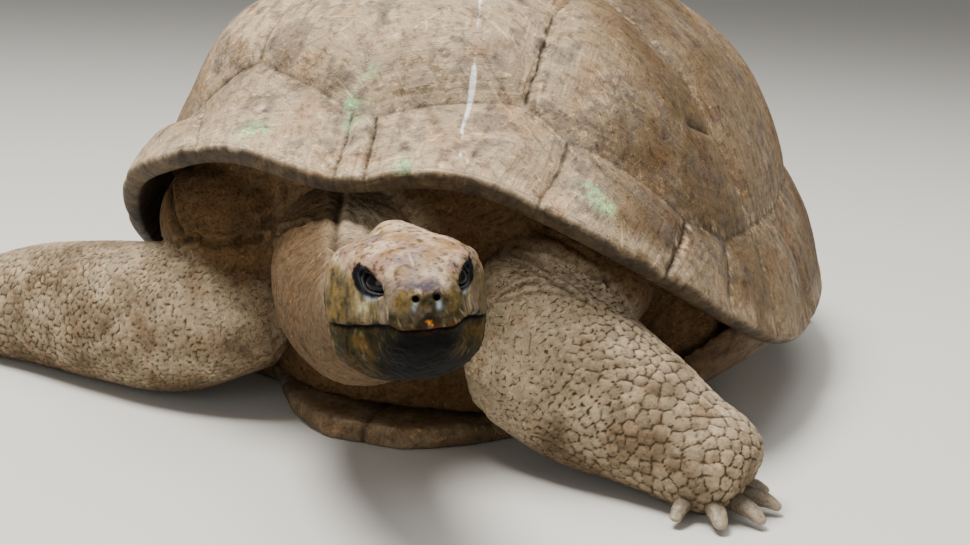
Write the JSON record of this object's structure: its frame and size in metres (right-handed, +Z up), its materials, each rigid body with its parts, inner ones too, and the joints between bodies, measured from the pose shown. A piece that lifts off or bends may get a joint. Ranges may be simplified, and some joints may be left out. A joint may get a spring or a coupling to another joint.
{
  "type": "giant tortoise",
  "caption": "Life-size still model of a giant tortoise resting on its plastron, forelegs spread and head stretched out low; domed shell with raised horny plates.",
  "frame": {"origin": "middle of the plastron's flat underside, on the floor, midway between the shell's sides and ends", "axes": "+Z up, -Y ahead (the way the shell faces), +X to the animal's left"},
  "size_m": [1.0824, 1.4108, 0.5278],
  "materials": {
    "shell": "dull weathered horn, grey-brown with sandy scratches",
    "plastron_horn": "dull worn horn",
    "skin": "dry scaly hide",
    "head_skin": "dry scaly hide, sandy above and ochre on the cheeks",
    "eye": "wet gloss",
    "claw": "worn horn"
  },
  "bodies": {
    "root": {"carapace": "shell", "plastron": "plastron_horn", "torso": "skin", "neck": "skin", "head": "head_skin", "lower_jaw": "head_skin", "eye_left": "eye", "eye_right": "eye", "foreleg_left": "skin", "foreleg_right": "skin", "hindleg_left": "skin", "hindleg_right": "skin", "tail": "skin", "claw_front_left_1": "claw", "claw_front_left_2": "claw", "claw_front_left_3": "claw", "claw_front_left_4": "claw", "claw_front_left_5": "claw", "claw_front_right_1": "claw", "claw_front_right_2": "claw", "claw_front_right_3": "claw", "claw_front_right_4": "claw", "claw_front_right_5": "claw", "claw_hind_left_1": "claw", "claw_hind_left_2": "claw", "claw_hind_left_3": "claw", "claw_hind_left_4": "claw", "claw_hind_right_1": "claw", "claw_hind_right_2": "claw", "claw_hind_right_3": "claw", "claw_hind_right_4": "claw"}
  },
  "joints": []
}
